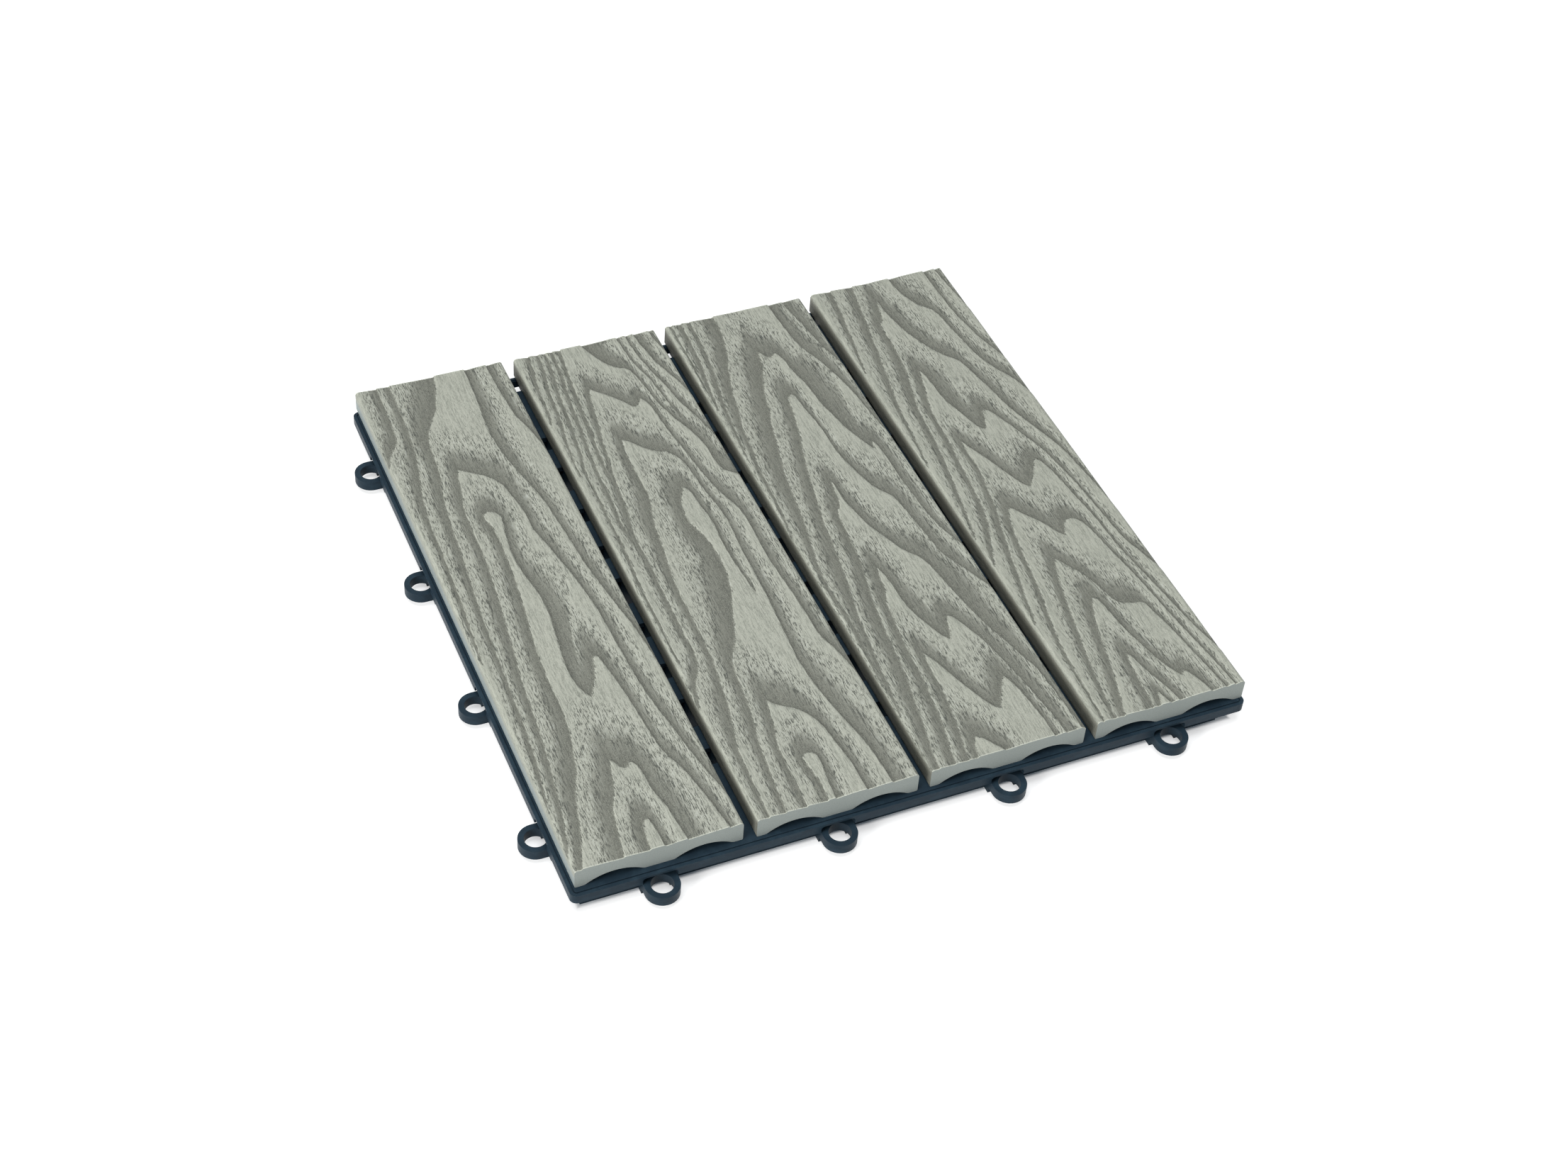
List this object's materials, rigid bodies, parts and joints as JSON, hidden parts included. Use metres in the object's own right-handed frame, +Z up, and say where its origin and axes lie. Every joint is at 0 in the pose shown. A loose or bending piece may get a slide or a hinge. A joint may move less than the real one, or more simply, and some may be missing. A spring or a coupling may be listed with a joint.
{
  "type": "interlocking deck tile",
  "caption": "Square interlocking deck tile: parallel wood-composite slats on a moulded drainage grid with edge rings and pegs that join it to its neighbours.",
  "frame": {"origin": "middle of the tile's whole outline, edge rings and pegs included, on the ground plane", "axes": "+Z up, +Y along the slats towards the peg side at the back, -Y and -X towards the two ring sides"},
  "size_m": [0.3088, 0.3088, 0.022],
  "materials": {
    "grid_plastic": "moulded polypropylene, blue-black, slight sheen",
    "composite": "wood-plastic composite, pale grey with embossed grain, matt",
    "screw_steel": "zinc-plated steel"
  },
  "bodies": {
    "root": {"base_grid": "grid_plastic", "deck_slat_1": "composite", "deck_slat_2": "composite", "deck_slat_3": "composite", "deck_slat_4": "composite", "screws": "screw_steel"}
  },
  "joints": []
}
